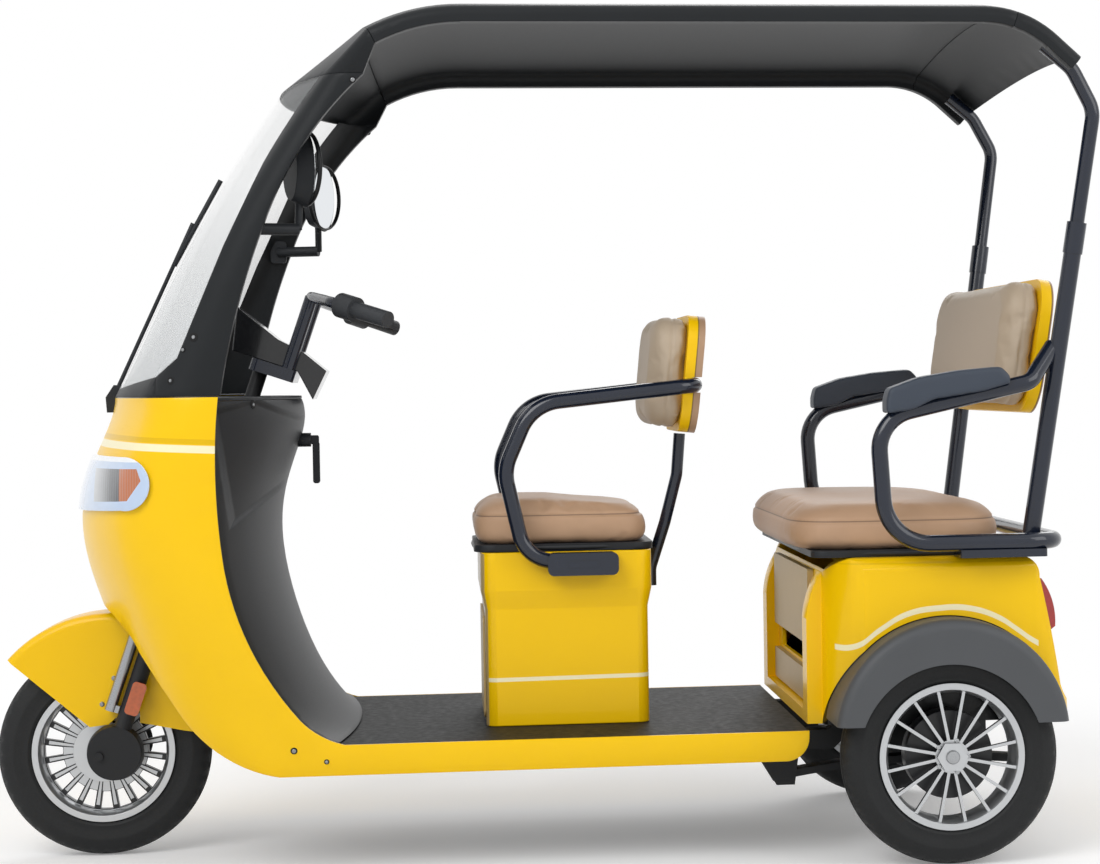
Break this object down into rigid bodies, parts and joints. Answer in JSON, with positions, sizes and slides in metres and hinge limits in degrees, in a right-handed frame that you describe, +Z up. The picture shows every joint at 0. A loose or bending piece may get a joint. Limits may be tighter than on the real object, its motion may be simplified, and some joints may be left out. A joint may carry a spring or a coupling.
{
  "type": "electric tricycle",
  "caption": "small three-wheeled electric passenger vehicle with a canopy, wrap-round front shell, driver's seat on a pedestal and a rear bench over the driven axle",
  "frame": {"origin": "on the ground, midway between the ends and sides of the whole vehicle", "axes": "+X to the front, +Y to the rider's left, +Z up"},
  "size_m": [2.1437, 1, 1.6689],
  "materials": {
    "yellow_shell": "glossy moulded panel",
    "dark_plastic": "grained black plastic",
    "tan_panel": "matt tan plastic",
    "tan_vinyl": "soft tan vinyl",
    "clear_glass": "clear",
    "dark_tube": "semi-gloss dark paint",
    "dark_steel": "satin dark paint",
    "spring_steel": "dull dark paint",
    "bright_steel": "bright",
    "cast_alloy": "silver cast alloy",
    "tyre": "rubber",
    "black_rubber": "ribbed rubber",
    "lamp_lens": "clear lens",
    "red_lens": "red lens",
    "amber_lens": "amber lens",
    "mirror_face": "mirror"
  },
  "bodies": {
    "chassis": {"front_shell": "yellow_shell", "leg_shield": "dark_plastic", "dash_shelf": "dark_plastic", "pillar_covers": "dark_plastic", "cowl": "dark_plastic", "windshield": "clear_glass", "front_header": "dark_plastic", "roof_panel": "dark_plastic", "rear_visor": "dark_plastic", "canopy_frame": "dark_tube", "arm_pads": "dark_plastic", "rear_body": "yellow_shell", "bench_front_panels": "tan_panel", "fender_flares": "dark_plastic", "tail_lamps": "red_lens", "floor_plate": "dark_steel", "floor_mat": "black_rubber", "frame_rails": "dark_steel", "leaf_springs": "spring_steel", "rear_axle": "dark_steel", "seat_box": "yellow_shell", "seat_box_panel": "tan_panel", "battery_pack": "dark_plastic", "driver_hoop": "dark_tube", "driver_back_shell": "dark_plastic", "driver_back_pad": "tan_vinyl", "rear_back_shell": "dark_plastic", "rear_back_pad": "tan_vinyl", "headlamps": "lamp_lens", "mirrors": "dark_plastic", "mirror_glasses": "mirror_face", "wiper": "dark_plastic", "ignition_key": "bright_steel"},
    "steering": {"fork": "dark_steel", "front_shocks": "bright_steel", "front_fender": "yellow_shell", "handlebar": "dark_tube", "grips": "black_rubber", "instrument_pod": "dark_plastic", "fork_reflectors": "amber_lens"},
    "front_wheel": {"front_tyre": "tyre", "front_rim": "cast_alloy"},
    "rear_wheel_left": {"rear_tyre_left": "tyre", "rear_rim_left": "cast_alloy"},
    "rear_wheel_right": {"rear_tyre_right": "tyre", "rear_rim_right": "cast_alloy"},
    "driver_seat": {"driver_seat_pan": "dark_plastic", "driver_cushion": "tan_vinyl"},
    "rear_seat": {"rear_seat_pan": "dark_plastic", "rear_cushion": "tan_vinyl"}
  },
  "joints": [
    {"name": "steering", "type": "hinge", "parent": "chassis", "child": "steering", "pos_m": [0.801, 0, 0.209], "axis": [-0.3256, 0, 0.9455], "range_deg": [-30, 30]},
    {"name": "front_wheel_spin", "type": "hinge", "parent": "steering", "child": "front_wheel", "pos_m": [0.861, 0, 0.209], "axis": [0, 1, 0], "continuous": true},
    {"name": "rear_left_wheel_spin", "type": "hinge", "parent": "chassis", "child": "rear_wheel_left", "pos_m": [-0.771, 0.398, 0.209], "axis": [0, 1, 0], "continuous": true},
    {"name": "rear_right_wheel_spin", "type": "hinge", "parent": "chassis", "child": "rear_wheel_right", "pos_m": [-0.771, -0.398, 0.209], "axis": [0, 1, 0], "continuous": true},
    {"name": "driver_seat_lid", "type": "hinge", "parent": "chassis", "child": "driver_seat", "pos_m": [0.116, 0, 0.6033], "axis": [0, 1, 0], "range_deg": [0, 75]},
    {"name": "rear_seat_lid", "type": "hinge", "parent": "chassis", "child": "rear_seat", "pos_m": [-0.524, 0, 0.5923], "axis": [0, 1, 0], "range_deg": [0, 75]}
  ]
}
